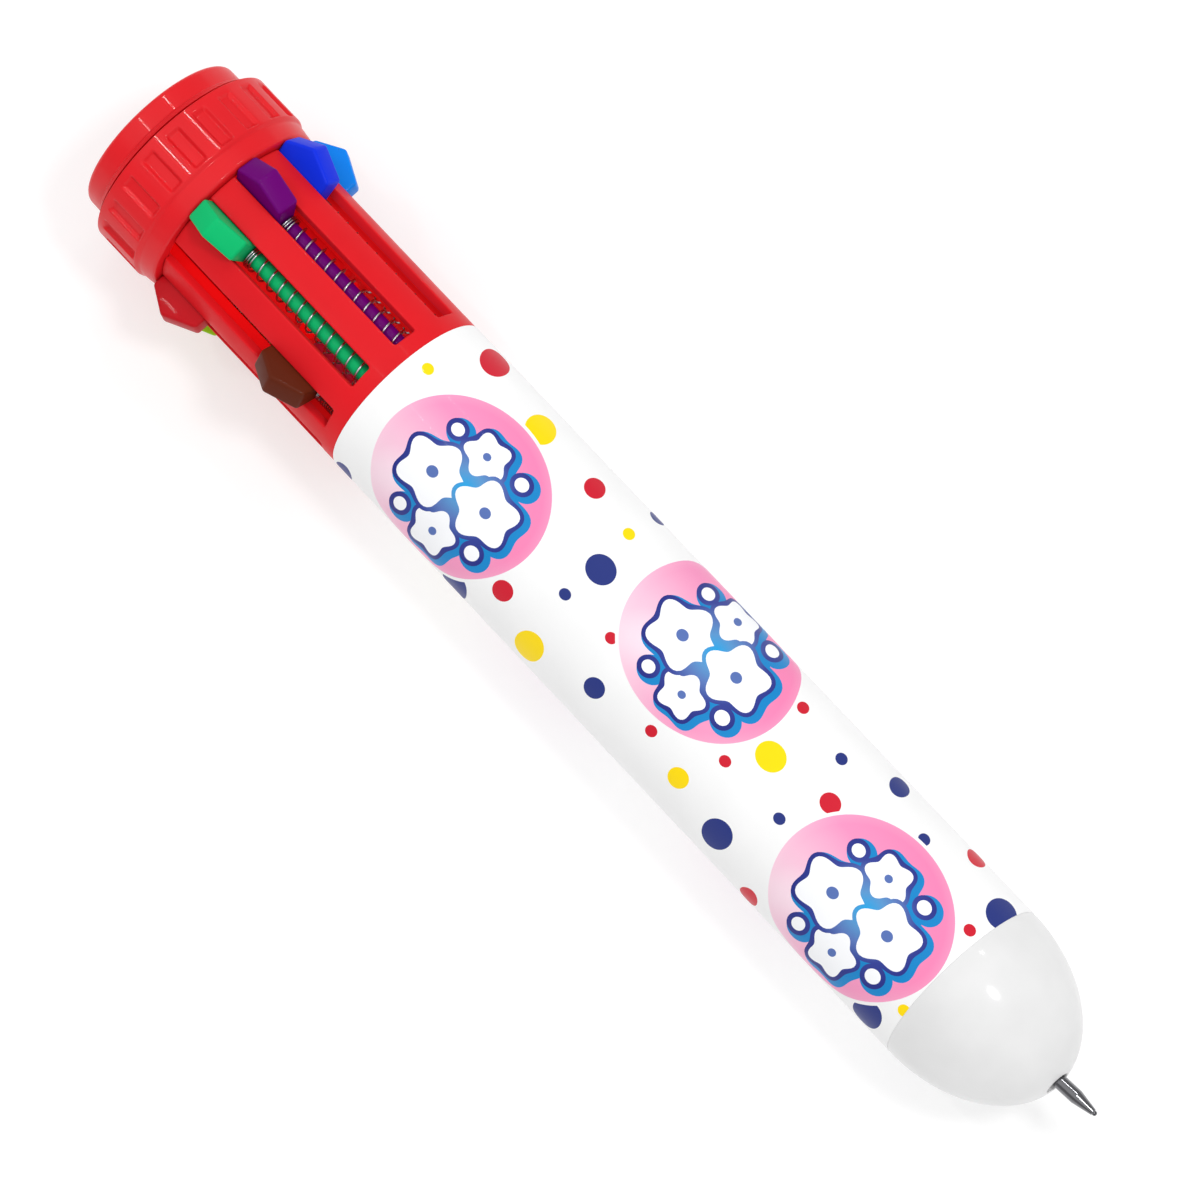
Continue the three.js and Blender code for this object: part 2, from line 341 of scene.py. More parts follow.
def mottle(tree, shader, colour, share):
    """The small drift in shade of dyed plastic."""
    mix = tree.nodes.new("ShaderNodeMix")
    mix.data_type = "RGBA"
    mix.inputs["A"].default_value = [c * (1 - share) for c in colour[:3]] + [1]
    mix.inputs["B"].default_value = [min(1, c * (1 + share)) for c in colour[:3]] + [1]
    tree.links.new(spread(tree, noise(tree, 140), 0, 1), mix.inputs["Factor"])
    tree.links.new(mix.outputs["Result"], shader.inputs["Base Color"])


def plastic(name, hex_colour, roughness=0.35, coat=0.0, level=0.3, painted_glow=0.0, share=0.04,
            ripple=0.25, coat_roughness=0.05):
    """Moulded plastic. Its Emission Strength is painted light: the part shines as if light came through
    its thin walls, though it is no lamp.
    """
    material, tree, shader = new_material(name)
    mottle(tree, shader, linear(hex_colour), share)
    surface(tree, shader, roughness, ripple)
    shader.inputs["IOR"].default_value = 1.5
    shader.inputs["Specular IOR Level"].default_value = level
    shader.inputs["Coat Weight"].default_value = coat
    shader.inputs["Coat Roughness"].default_value = coat_roughness
    shader.inputs["Emission Color"].default_value = linear(hex_colour)
    # Painted light: emission on a part that is no lamp.
    shader.inputs["Emission Strength"].default_value = painted_glow
    return material


def metal(name, hex_colour, roughness, coat=0.0):
    """Drawn or turned metal, with fine marks. coat is the gloss of its plating."""
    material, tree, shader = new_material(name)
    mottle(tree, shader, linear(hex_colour), 0.05)
    surface(tree, shader, roughness, 0.3, 3000)
    shader.inputs["Metallic"].default_value = 1
    shader.inputs["Coat Weight"].default_value = coat
    return material


red_gloss = plastic("cap_red", "dc1c24", 0.4, coat=0.25, level=0.08, ripple=0.15)
red_satin = plastic("housing_red", "dc1c24", 0.45, coat=0.03, level=0.08, ripple=0.15)
# Painted light: the core and the fins between the slots glow, so that the floor seen down the slots looks
# as bright as lit red plastic.
core_red = plastic("core_red", "f01216", 0.5, level=0.1, painted_glow=0.28)
white_plastic = plastic("barrel_white", "f0f0ee", 0.4)
seat_white = plastic("seat_white", "ececea", 0.4)
# Painted light: a faint glow brightens the nose.
nose_plastic = plastic("nose_pale", "dadada", 0.35, coat=0.22, level=0.15, painted_glow=0.1, ripple=0.04,
                       coat_roughness=0.09)
spring_steel = metal("spring_steel", "b4b4b8", 0.25)
nickel = metal("tip_nickel", "6c6c70", 0.14, coat=1.0)
ball_steel = metal("ball_steel", "5c5c60", 0.2)
slider_plastic = {name: plastic(f"slider_{name}", code, 0.4, coat=0.06, level=0.05)
                  for name, code in COLOURS.items()}
tube_plastic = {name: plastic(f"tube_{name}", code, 0.3, coat=0.3) for name, code in COLOURS.items()}


# ---- cap


def smooth(share):
    share = np.clip(share, 0, 1)
    return share * share * (3 - 2 * share)


RIB_PITCH = 360 / CAP_RIBS
RIB_CREST_DEG, RIB_FOOT_DEG = 4.0, 6.2
RIB_START, RIB_END = 3.35, 9.95
RIB_START_SLOPE, RIB_END_SLOPE = 0.32, 0.6
GROOVE_START, GROOVE_END, GROOVE_SLOPE = 4.4, 9.4, 0.55


def cap_relief(station, radius, angles):
    """The radius around the cap at a station: a raised band with a groove between each two ribs."""
    if not RIB_START <= station <= RIB_END or radius < CAP_COLLAR_R:
        return np.full(len(angles), radius)
    start = smooth((station - RIB_START) / RIB_START_SLOPE)
    end = smooth((RIB_END - station) / RIB_END_SLOPE)
    crest = CAP_SKIRT_R + (CAP_CREST_R - CAP_SKIRT_R) * end
    crest = CAP_COLLAR_R + (crest - CAP_COLLAR_R) * start
    reach = min(station - GROOVE_START, GROOVE_END - station) / GROOVE_SLOPE
    offset = (np.degrees(angles) + RIB_PITCH / 2) % RIB_PITCH - RIB_PITCH / 2
    groove = smooth((np.abs(offset) - RIB_CREST_DEG) / (RIB_FOOT_DEG - RIB_CREST_DEG))
    return crest - (CAP_CREST_R - CAP_GROOVE_R) * smooth(reach) * groove


def make_cap():
    outside = rounded([
        (0, 0, 0), (0, 9.86, 0.55), (2.45, CAP_NECK_R, 0.14), (2.8, CAP_COLLAR_R, 0.12),
        (RIB_START, CAP_COLLAR_R, 0),
    ])
    ribbed = [(x, CAP_GROOVE_R) for x in (
        *np.linspace(RIB_START + 0.001, RIB_START + RIB_START_SLOPE, 9), 4.1,
        *np.linspace(GROOVE_START, GROOVE_START + GROOVE_SLOPE, 6), 5.2, 6, 7, 8, 8.6,
        *np.linspace(GROOVE_END - GROOVE_SLOPE, GROOVE_END, 6),
        *np.linspace(RIB_END - RIB_END_SLOPE + 0.03, RIB_END, 8))]
    inside = rounded([
        (10.2, CAP_SKIRT_R, 0), (CAP_END, CAP_SKIRT_END_R, 0.45), (CAP_END, CAP_BORE_R, 0.15),
        (CAP_ROOF, CAP_BORE_R, 0.5), (CAP_ROOF, 0, 0),
    ])
    half = [0, 1.4, 2.8, 3.7, *np.linspace(RIB_CREST_DEG, RIB_FOOT_DEG, 7), 6.5, 7.7]
    pitch = half + [RIB_PITCH / 2] + [RIB_PITCH - a for a in half[:0:-1]]
    first = FIRST_SLOT_DEG + RIB_PITCH / 2
    angles = np.radians([first + RIB_PITCH * rib + a for rib in range(CAP_RIBS) for a in pitch])

    def relief(station, radius, angles):
        return cap_relief(station, radius, angles - radians(first))

    vertices, faces = lathe(outside[:-1] + ribbed + inside, angles=angles, relief=relief)
    return make_piece("cap_moulding", vertices, faces, [red_gloss])


# ---- housing


SIDE_STEPS = 10
CORNER_STEPS = 6
PATCH_START, PATCH_END = 10.9, 37.4


def slot_loop():
    """The slot's outline, anticlockwise from above. Each point has its station and width, the way
    out of the slot, the outer radius there, and its place on the edge of the sector around it."""
    half = SLOT_PITCH_DEG / 2
    per_side = SIDE_STEPS + CORNER_STEPS
    long_stations = [33, 29, 25, 21, 17, 14, 12.3]
    points = []

    def end_side(station, sign, edge, radius):
        middle = SLOT_HALF_WIDTH - SLOT_CORNER_R
        for step in range(SIDE_STEPS + 1):
            share = (step - SIDE_STEPS / 2) / (SIDE_STEPS / 2)
            degrees = sign * share * half * SIDE_STEPS / per_side
            points.append((station, sign * share * middle, sign, 0, radius, edge, degrees))

    def corner(x_sign, w_sign, station, edge, radius, leaving_end):
        """The points between an end side and a long side, without the end side's own."""
        for step in range(1, CORNER_STEPS + 1):
            share = step / CORNER_STEPS if leaving_end else 1 - (step - 1) / CORNER_STEPS
            angle = share * pi / 2
            out_x, out_w = x_sign * cos(angle), w_sign * sin(angle)
            x = station + SLOT_CORNER_R * (out_x - x_sign)
            w = w_sign * (SLOT_HALF_WIDTH - SLOT_CORNER_R) + SLOT_CORNER_R * out_w
            if share <= 0.5:
                x_edge = edge
                degrees = w_sign * half * (SIDE_STEPS + share * 2 * CORNER_STEPS) / per_side
            else:
                x_edge = edge + (station - x_sign * SLOT_CORNER_R - edge) * (2 * share - 1)
                degrees = w_sign * half
            points.append((x, w, out_x, out_w, radius, x_edge, degrees))

    def long_side(sign, stations):
        for x, radius in stations:
            points.append((x, sign * SLOT_HALF_WIDTH, 0, sign, radius, x, sign * half))

    long = [(x, HOUSING_R) for x in long_stations]
    long += [(SHOULDER + 0.12, HOUSING_R), (SHOULDER, HOUSING_R - 0.12), (SHOULDER, HOUSING_NECK_R)]
    end_side(SLOT_END, 1, PATCH_END, HOUSING_R)
    corner(1, 1, SLOT_END, PATCH_END, HOUSING_R, True)
    long_side(1, long)
    corner(-1, 1, SLOT_START, PATCH_START, HOUSING_NECK_R, False)
    end_side(SLOT_START, -1, PATCH_START, HOUSING_NECK_R)
    corner(-1, -1, SLOT_START, PATCH_START, HOUSING_NECK_R, True)
    long_side(-1, long[::-1])
    corner(1, -1, SLOT_END, PATCH_END, HOUSING_R, False)
    return np.array(points)


def housing_sector(degrees):
    """The wall around one slot: outer surface, rounded slot edge, slot wall and inner surface."""
    x, w, out_x, out_w, radius, x_edge, edge_deg = slot_loop().T

    def at_slot(radii, offset, depth):
        width = w + out_w * offset
        return np.stack([x + out_x * offset, width, np.sqrt(radii**2 - width**2) - depth], axis=1)

    def between(radii, offset, share):
        start = np.arcsin((w + out_w * offset) / radii)
        angle = start + (np.radians(edge_deg) - start) * share
        station = x + out_x * offset + (x_edge - x - out_x * offset) * share
        return np.stack([station, radii * np.sin(angle), radii * np.cos(angle)], axis=1)

    shares = (1, 0.7, 0.4, 0.16)
    bore = np.full(len(x), HOUSING_BORE_R)
    rings = [between(radius, SLOT_EDGE_R, share) for share in shares]
    for angle in np.linspace(0, pi / 2, 5):
        rings.append(at_slot(radius, SLOT_EDGE_R * (1 - sin(angle)),
                             SLOT_EDGE_R * (1 - cos(angle))))
    rings += [at_slot(bore, 0, 0)] + [between(bore, 0, share) for share in shares[::-1]]
    return turn(np.concatenate(rings), degrees), tube_faces(len(rings), len(x))


def make_housing():
    vertices, faces = [], []

    def add(more_vertices, more_faces):
        start = len(vertices)
        vertices.extend(map(tuple, more_vertices))
        faces.extend([[start + i for i in face] for face in more_faces])

    for slot in range(len(COLOURS)):
        add(*housing_sector(FIRST_SLOT_DEG + slot * SLOT_PITCH_DEG))
    per_turn = len(COLOURS) * (SIDE_STEPS + CORNER_STEPS)
    lower = rounded([
        (PATCH_END, HOUSING_R, 0), (HOUSING_END, HOUSING_R, 0.12), (HOUSING_END, 9.15, 0.05),
        (42, 9.15, 0.1),
        (42, HOUSING_BORE_R, 0), (PATCH_END, HOUSING_BORE_R, 0),
    ])
    upper = rounded([
        (PATCH_START, HOUSING_BORE_R, 0), (4.8, HOUSING_BORE_R, 0.2), (4.8, 6.1, 0.1),
        (3.4, 6.1, 0.1), (3.4, HOUSING_NECK_R, 0.2), (PATCH_START, HOUSING_NECK_R, 0),
    ])
    add(*lathe(lower, per_turn))
    add(*lathe(upper, per_turn))
    housing = make_piece("housing_moulding", vertices, faces, [red_satin])
    fins = [block(f"fin_{slot}", (4.6, -0.4, 7.3), (37.4, 0.4, 9.05),
                  FIRST_SLOT_DEG + (slot + 0.5) * SLOT_PITCH_DEG, core_red, 0.1)
            for slot in range(len(COLOURS))]
    return combine(housing, fins, "UNION")


# ---- inner pieces


def make_core():
    return turned("core_moulding", [
        (1.9, 0, 0), (1.9, 8.8, 0.2), (3.1, 8.8, 0.2), (3.1, 5.9, 0.3), (26.6, 5.9, 0.35),
        (26.6, 4.2, 0.2), (6, 4.2, 0.4), (6, 0, 0),
    ], core_red)


def rod(name, line, shift, degrees, materials):
    """A turned rod whose own axis is a slider's stem."""
    vertices, faces = lathe(line, 32)
    return make_piece(name, turn(np.array(vertices) + (shift, 0, RING_R), degrees), faces, materials)


def make_seat():
    seat = turned("seat_plate", [
        (SEAT_START, 3, 0.15), (SEAT_START, 8.88, 0.2), (SEAT_END, 8.88, 0.2), (SEAT_END, 3, 0.15),
    ], seat_white, closed=True)
    line = [(SEAT_START - 1, 0), (SEAT_START - 1, HOLE_R), (SEAT_END + 1, HOLE_R), (SEAT_END + 1, 0)]
    holes = [rod(f"hole_{slot}", line, 0, FIRST_SLOT_DEG + slot * SLOT_PITCH_DEG, [])
             for slot in range(len(COLOURS))]
    return combine(seat, holes, "DIFFERENCE")


def make_barrel():
    return turned("barrel_tube", [
        (39.3, 9.2, 0.1), (39.3, 9.8, 0.1), (122.7, 9.8, 0.05), (122.7, 9.15, 0.05), (126.4, 9.15, 0.2),
        (126.4, 8.2, 0.1), (112, 8.2, 0.3), (112, 8.9, 0.3), (42.3, 8.9, 0.1), (42.3, 9.2, 0.1),
    ], white_plastic, closed=True)


def make_nose():
    def dome(length, base, start_r, end_r, count):
        first, last = acos(start_r / base), acos(end_r / base)
        return [(NOSE_START + length * sin(a), base * cos(a))
                for a in np.linspace(first, last, count)]

    outside = dome(NOSE_LENGTH, 10, 9.99, 1.55, 48)
    socket_reach = (SOCKET_END - NOSE_START) / NOSE_BORE_LENGTH
    inside = dome(NOSE_BORE_LENGTH, NOSE_BORE_R, NOSE_BORE_R * sqrt(1 - socket_reach**2),
                  NOSE_HOLE_R, 32)
    rim = NOSE_START + NOSE_LENGTH * sin(acos(0.14))
    line = [(NOSE_START, 9.95), *outside, (rim - 0.02, 1.42), (rim - 0.1, NOSE_HOLE_R),
            *inside[::-1], (SOCKET_END, SOCKET_R), (NOSE_START, SOCKET_R)]
    vertices, faces = lathe(line, closed=True)
    return make_piece("nose_moulding", vertices, faces, [nose_plastic])


# ---- sliders, springs and refills


def make_slider(name, degrees, shift):
    """A peaked button on its foot, with a round stem and a nipple for the refill."""
    side = [(BUTTON_START, BUTTON_FOOT_R), (BUTTON_END, BUTTON_FOOT_R), (BUTTON_END, BUTTON_END_R),
            (BUTTON_APEX, BUTTON_APEX_R), (BUTTON_START, BUTTON_END_R)]
    work = bmesh.new()
    near = [work.verts.new((x + shift, -BUTTON_WIDTH / 2, z)) for x, z in side]
    far = [work.verts.new((x + shift, BUTTON_WIDTH / 2, z)) for x, z in side]
    work.faces.new(near)
    work.faces.new(far[::-1])
    for i in range(len(side)):
        j = (i + 1) % len(side)
        work.faces.new([near[i], far[i], far[j], near[j]])
    bmesh.ops.recalc_face_normals(work, faces=work.faces)
    bmesh.ops.bevel(work, geom=work.edges[:], offset=BUTTON_BEVEL, segments=4, profile=0.5,
                    affect="EDGES")
    material = slider_plastic[name]
    slider = from_bmesh(f"slider_{name}_moulding", work, degrees, [material])
    stem = rounded([
        (BUTTON_END - 1, 0, 0), (BUTTON_END - 1, STEM_R, 0), (PIVOT - PIVOT_GAP, STEM_R, 0.12),
        (PIVOT - PIVOT_GAP, 0.42, 0), (PIVOT + 1.2, 0.42, 0.1), (PIVOT + 1.2, 0, 0)])
    return combine(slider, [rod("stem", stem, shift, degrees, [material])], "UNION")


def swept_wire(centres, outwards, radius, sides=10):
    """A round wire along a line of centres. outwards points away from the coil's own axis."""
    along = np.gradient(centres, axis=0)
    along /= np.linalg.norm(along, axis=1)[:, None]
    across = np.cross(along, outwards)
    across /= np.linalg.norm(across, axis=1)[:, None]
    ring = np.arange(sides) * 2 * pi / sides
    vertices = (centres[:, None] + radius * (np.cos(ring)[None, :, None] * outwards[:, None]
                                             + np.sin(ring)[None, :, None] * across[:, None]))
    last = (len(centres) - 1) * sides
    faces = tube_faces(len(centres), sides)
    faces += [list(range(sides))[::-1], list(range(last, last + sides))]
    return vertices.reshape(-1, 3), faces


CLOSED_TOP_TURNS, CLOSED_SEAT_TURNS = 2.6, 1.6
CLOSED_PITCH, OPEN_PITCH = 0.26, 1.52
COIL_GAP = 0.02
TURN_STEPS = 28


def coil_stations(turns, start, end):
    """Stations along a spring: closed coils at both ends and an open pitch between."""
    top = start + WIRE_R + COIL_GAP
    seat = end - WIRE_R - COIL_GAP
    knots = [0, CLOSED_TOP_TURNS, turns[-1] - CLOSED_SEAT_TURNS, turns[-1]]
    places = [top, top + CLOSED_TOP_TURNS * CLOSED_PITCH, seat - CLOSED_SEAT_TURNS * CLOSED_PITCH, seat]
    line = np.interp(turns, knots, places)
    steps = int(0.5 / (turns[1] - turns[0]))
    padded = np.pad(line, steps, mode="edge")
    return np.convolve(padded, np.ones(2 * steps + 1) / (2 * steps + 1), mode="valid")


def make_spring(name, degrees):
    """A spring at its full length between a resting button and the seat."""
    length = SEAT_START - BUTTON_END
    closed = (CLOSED_TOP_TURNS + CLOSED_SEAT_TURNS) * CLOSED_PITCH
    total = CLOSED_TOP_TURNS + CLOSED_SEAT_TURNS + (length - closed) / OPEN_PITCH
    turns = np.linspace(0, total, int(total * TURN_STEPS))
    angle = pi - 2 * pi * turns
    outwards = np.stack([np.zeros(len(turns)), np.sin(angle), np.cos(angle)], axis=1)
    centres = SPRING_R * outwards
    centres[:, 0] = coil_stations(turns, BUTTON_END, SEAT_START)
    centres[:, 2] += RING_R
    vertices, faces = swept_wire(centres, outwards, WIRE_R)
    if name == PUSHED:
        vertices[:, 0] = pressed(vertices[:, 0])
    return make_piece(f"spring_{name}_wire", turn(vertices, degrees), faces, [spring_steel], 60)


def pressed(stations):
    """Stations of a full-length spring, pressed back by the travel. A blend from the seat to the
    pushed slider moves each of them by its smooth share, so this is that move undone."""
    low = np.full(len(stations), BUTTON_END + TRAVEL - 1.0)
    high = np.full(len(stations), SEAT_START + 1.0)
    for _ in range(50):
        middle = (low + high) / 2
        share = smooth((SEAT_START - middle) / (SEAT_START - BUTTON_END - TRAVEL))
        too_far = middle - TRAVEL * share > stations
        high = np.where(too_far, middle, high)
        low = np.where(too_far, low, middle)
    return (low + high) / 2


def leaned(vertices, degrees, shift, lean):
    """A refill's points, from its own axis to its place behind a slider."""
    x, y, z = np.asarray(vertices, float).T
    c, s = cos(lean), sin(lean)
    placed = np.stack([PIVOT + shift + x * c + z * s, y, RING_R - x * s + z * c], axis=1)
    return turn(placed, degrees)


BALL_START, BALL_CENTRE, BALL_R = 89.1, 89.12, 0.27


def make_refill(name, degrees, shift, lean):
    """A refill's tube and its tip with the ball, along the refill's own axis from the pivot."""
    tube, faces = lathe(rounded([
        (PIVOT_GAP, 0.65, 0.05), (PIVOT_GAP, 0.95, 0.08), (81.3, 0.95, 0.08), (81.3, 0.65, 0.05),
    ], 3), 32, closed=True)
    tube = make_piece(f"refill_{name}_tube", leaned(tube, degrees, shift, lean), faces,
                      [tube_plastic[name]])
    tip_line = rounded([
        (77.5, 0, 0), (77.5, 0.5, 0.1), (81.5, 0.5, 0), (81.5, 0.78, 0.06), (86.7, 0.78, 0.1),
        (88.95, 0.36, 0.05), (89.05, BALL_R, 0),
    ], 4)
    ball = [(BALL_CENTRE + BALL_R * sin(a), BALL_R * cos(a))
            for a in np.linspace(0.1, pi / 2, 9)]
    line = tip_line + ball[:-1] + [(ball[-1][0], 0)]
    tip, faces = lathe(line, 40)
    of_ball = [int(np.mean([tip[i][0] for i in face]) > BALL_START) for face in faces]
    tip = make_piece(f"refill_{name}_point", leaned(tip, degrees, shift, lean), faces,
                     [nickel, ball_steel])
    tip.data.polygons.foreach_set("material_index", of_ball)
    return tube, tip


# ---- printed sleeve

# The print reads as flat from the front. Its width per degree follows the cosine of the angle from
# the middle of that face, down to a limit near the face's edges, and is true on the back. It also
# slips along the pen with the height of the surface, so that it looks straight from the nose side.
FACE_MIDDLE_DEG = -5.5
LEAST_WIDTH = 0.5
SLIP = tan(radians(14))
SLIP_ROUNDING = 0.4
# The artwork is drawn a little longer along the pen than across it.
STRETCH = np.array([1.09, 0.93])
# Discs: station, degrees around the pen.
DISC_R = 9.35
DISC_MARGIN = 0.35
DISCS = [(52.4, -19.2), (82.5, 21.9), (112.5, -18.2), (67.5, 178), (97.5, 178)]
# Dots: station, degrees around the pen, radius and ink. They repeat half a turn further round.
DOTS = [
    (41, 14.5, 0.63, "yellow"), (44, 57, 1.6, "red"), (53, 43, 1.6, "yellow"), (61.4, 42, 1.1, "red"),
    (66.8, 76, 0.9, "navy"), (67.5, 36.5, 0.63, "yellow"), (68.8, 7, 1.6, "navy"),
    (62.8, -46, 1.1, "red"), (68.1, -18, 0.63, "navy"), (68.3, -63, 1.6, "yellow"),
    (76.7, -46, 1.1, "navy"), (57.5, -82, 1.6, "navy"), (40.4, -88, 1.1, "navy"),
    (74.7, -16, 0.63, "red"), (84.2, -37.5, 0.63, "red"), (92, -17, 0.63, "red"),
    (94.9, 4, 1.6, "yellow"), (89.4, -46.5, 1.1, "yellow"), (92.8, 42, 0.63, "red"),
    (99.5, 36, 0.63, "navy"), (105, 58, 1.1, "navy"), (102.5, 10.5, 1.1, "red"),
    (96.1, -55, 1.6, "navy"), (100.1, -17, 0.63, "navy"), (111.2, 39.5, 0.63, "navy"),
    (115.3, 69, 1.1, "red"), (102.1, -80, 1.1, "red"), (122, 43.5, 1.6, "navy"),
    (121.5, 19, 0.63, "red"), (122.6, -43, 0.63, "yellow"), (119.5, -71, 1.6, "navy"),
]
# Motif: puffy blooms and bubbles, as right and up on the disc, radius, and turn (None for a bubble).
MOTIF = [
    (0.3, 6.9, 0.75, None), (6.9, 1.3, 0.8, None), (-6.7, -1.4, 0.75, None), (0.9, -6.4, 0.85, None),
    (3.3, 4.1, 2.7, -8), (-3.3, -4.2, 2.7, 30), (-2.8, 2.2, 4.0, 20), (2.7, -2.0, 3.8, 50),
]
MOTIF_HEART_R = 3.6
MOTIF_SCALE = 0.94
MOTIF_SHIFT = (0.4, -0.6)
BLOOM_MIDDLE = 0.17
MOTIF_UP_DEG = 136.6
OUTLINE, HALO = 0.5, 0.85
HALO_SHIFT = (0.32, -0.32)

AROUND_DEG = np.linspace(0, 360, 1441)
AROUND_HEIGHT = np.cos(np.radians(AROUND_DEG))
AROUND_RATE = np.where(AROUND_HEIGHT > 0, (AROUND_HEIGHT**8 + LEAST_WIDTH**8)**(1 / 8),
                       LEAST_WIDTH + (1 - LEAST_WIDTH) * smooth(-2 * AROUND_HEIGHT))
AROUND_MM = np.concatenate([[0], np.cumsum((AROUND_RATE[1:] + AROUND_RATE[:-1]) / 2)])
AROUND_MM *= radians(AROUND_DEG[1]) * SLEEVE_R
TURN_MM = AROUND_MM[-1]


def width_at(degrees):
    """The flat print's width, in mm from the middle of its front face, at an angle on the pen."""
    turns, rest = np.divmod(np.asarray(degrees, float) - FACE_MIDDLE_DEG, 360)
    return turns * TURN_MM + np.interp(rest, AROUND_DEG, AROUND_MM)


def degrees_at(width):
    turns, rest = np.divmod(np.asarray(width, float), TURN_MM)
    return turns * 360 + np.interp(rest, AROUND_MM, AROUND_DEG) + FACE_MIDDLE_DEG


def slip_at(width):
    """How far the print slips towards the nose at a width. It fades out on the back."""
    height = np.cos(np.radians(degrees_at(width) - FACE_MIDDLE_DEG))
    return SLIP * SLEEVE_R * (height + np.hypot(height, SLIP_ROUNDING)) / 2


def on_print(local, origin):
    """Points of the artwork around an origin on the print, as points of the print."""
    points = origin + local * STRETCH
    points[:, 0] += slip_at(points[:, 1]) - slip_at(origin[1])
    return points


def on_artwork(points, origin):
    """Points of the print as points of the artwork around an origin."""
    local = points - origin
    local[:, 0] -= slip_at(points[:, 1]) - slip_at(origin[1])
    return local / STRETCH


def bloom_radius(angle, radius, turned_deg, grow):
    """The radius of a bloom, or of a bubble if it has no turn, in a direction."""
    if turned_deg is None:
        return np.full(np.shape(angle), radius + grow)
    lobes = 0.13 * radius - 0.12 * min(grow, 0.6)
    return radius * 0.87 + lobes * np.cos(5 * (angle - radians(turned_deg))) + grow


class Shape:
    """A closed outline of the artwork: its origin on the print, its centre from there, and a radius
    for each direction."""

    def __init__(self, origin, centre, radius_at, count, ink):
        self.origin = np.array(origin, float)
        self.centre = np.array(centre, float)
        self.radius_at = radius_at
        self.count = count
        self.ink = ink

    def outline(self):
        angles = np.arange(self.count) * 2 * pi / self.count
        ring = np.stack([np.cos(angles), np.sin(angles)], axis=1)
        return on_print(self.centre + ring * self.radius_at(angles)[:, None], self.origin)

    def holds(self, points):
        local = on_artwork(points, self.origin) - self.centre
        return np.hypot(*local.T) < self.radius_at(np.arctan2(local[:, 1], local[:, 0]))

    def moved(self, width):
        return Shape(self.origin + (0, width), self.centre, self.radius_at, self.count, self.ink)


def circle(origin, centre, radius, count, ink):
    return Shape(origin, centre, lambda angles: np.full(np.shape(angles), radius), count, ink)


def motif_shapes(origin):
    """The motif's layers on one disc, lowest first: halo, then each bloom with its outline."""
    up = radians(MOTIF_UP_DEG)
    up_way = np.array([cos(up), sin(up)])
    right_way = np.array([sin(up), -cos(up)])

    def layer(bloom, grow, ink, shift=(0, 0)):
        right, high, radius, turned_deg = bloom
        radius *= MOTIF_SCALE
        place = (MOTIF_SHIFT + right_way * (right * MOTIF_SCALE + shift[0])
                 + up_way * (high * MOTIF_SCALE + shift[1]))
        spin = None if turned_deg is None else turned_deg + MOTIF_UP_DEG
        return Shape(origin, place, lambda angles: bloom_radius(angles, radius, spin, grow),
                     30 if spin is None else 70, ink)

    layers = [layer(bloom, HALO, "azure", HALO_SHIFT) for bloom in MOTIF]
    layers.append(circle(origin, MOTIF_SHIFT, MOTIF_HEART_R, 40, "outline"))
    for bloom in MOTIF:
        layers += [layer(bloom, OUTLINE, "outline"), layer(bloom, 0, "white")]
        if bloom[3] is not None:
            layers.append(layer((*bloom[:2], bloom[2] * BLOOM_MIDDLE, None), 0, "middle"))
    return layers


def print_shapes():
    """Every shape of the print, lowest first, on three laps so that those at the seam meet."""
    shapes = []
    for half_turn in (0, 180):
        for station, degrees, radius, ink in DOTS:
            origin = (station, width_at(degrees + half_turn))
            shapes.append(circle(origin, (0, 0), radius, 36, ink))
    for station, degrees in DISCS:
        origin = (station, width_at(degrees))
        shapes.append(circle(origin, (0, 0), DISC_R + DISC_MARGIN, 96, "paper"))
        shapes.append(circle(origin, (0, 0), DISC_R, 96, "disc"))
        shapes += motif_shapes(origin)
    return [shape.moved(lap * TURN_MM) for lap in (-1, 0, 1) for shape in shapes]


SEAM_DEG = -100
SEAM_MM = width_at(SEAM_DEG)
GRID_LONG, GRID_DEG = 1.4, 4
GRID_GAP = 0.3
FARTHEST_REACH = 13
SNAPS_PER_MM = 5000


